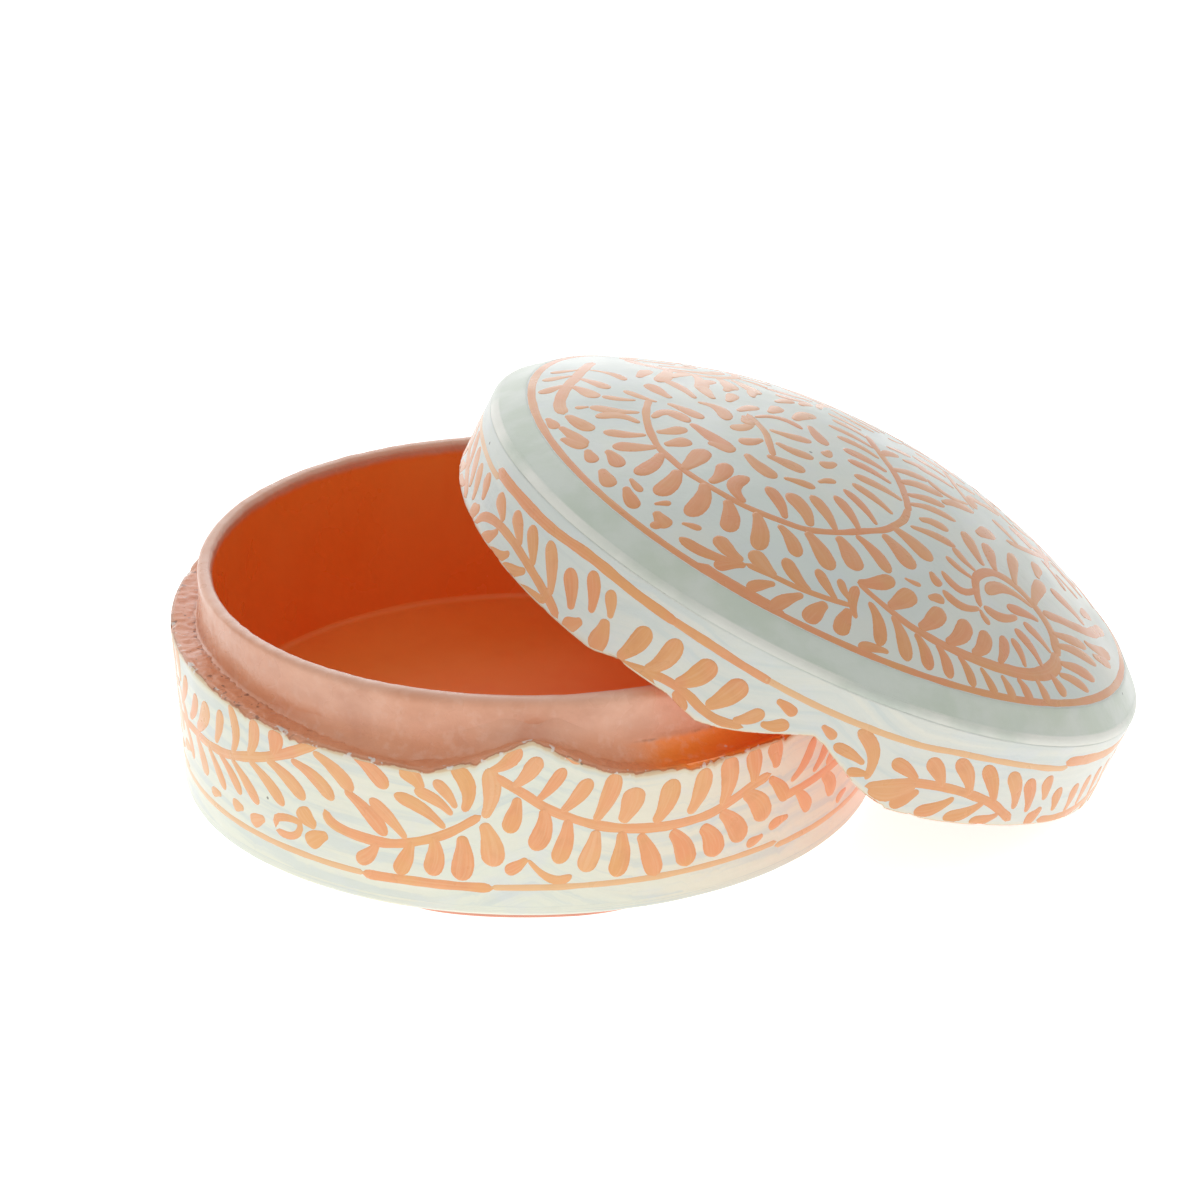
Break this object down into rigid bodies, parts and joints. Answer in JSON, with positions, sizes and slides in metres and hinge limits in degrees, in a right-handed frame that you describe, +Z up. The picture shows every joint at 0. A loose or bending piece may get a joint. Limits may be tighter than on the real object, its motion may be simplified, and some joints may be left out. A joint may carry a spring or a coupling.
{
  "type": "round lidded trinket box",
  "caption": "Round lacquered papier-mache trinket box with an inner collar, a toothed parting line and a low domed lift-off lid that leans on the open base.",
  "frame": {"origin": "centre of the base's flat underside, on the base's axis", "axes": "+Z up along the base's axis, +X towards the side on which the leaning lid reaches down to the table, -Y towards the toothed front"},
  "size_m": [0.1376, 0.1061, 0.0573],
  "materials": {
    "white_ground": "lacquered off-white ground, hand painted",
    "orange_lacquer": "lacquered orange paint",
    "coral_lacquer": "lacquered coral paint",
    "coral_sheet": "painted paper"
  },
  "bodies": {
    "base": {"base_wall": "white_ground", "floor_board": "orange_lacquer", "underside_sheet": "coral_sheet", "collar": "coral_lacquer"},
    "lid": {"lid_skirt": "white_ground", "lid_dome": "white_ground"}
  },
  "joints": [
    {"name": "lid_lift", "type": "slide", "parent": "base", "child": "lid", "axis": [0, 0, 1], "range_m": [0, 0.08]}
  ]
}
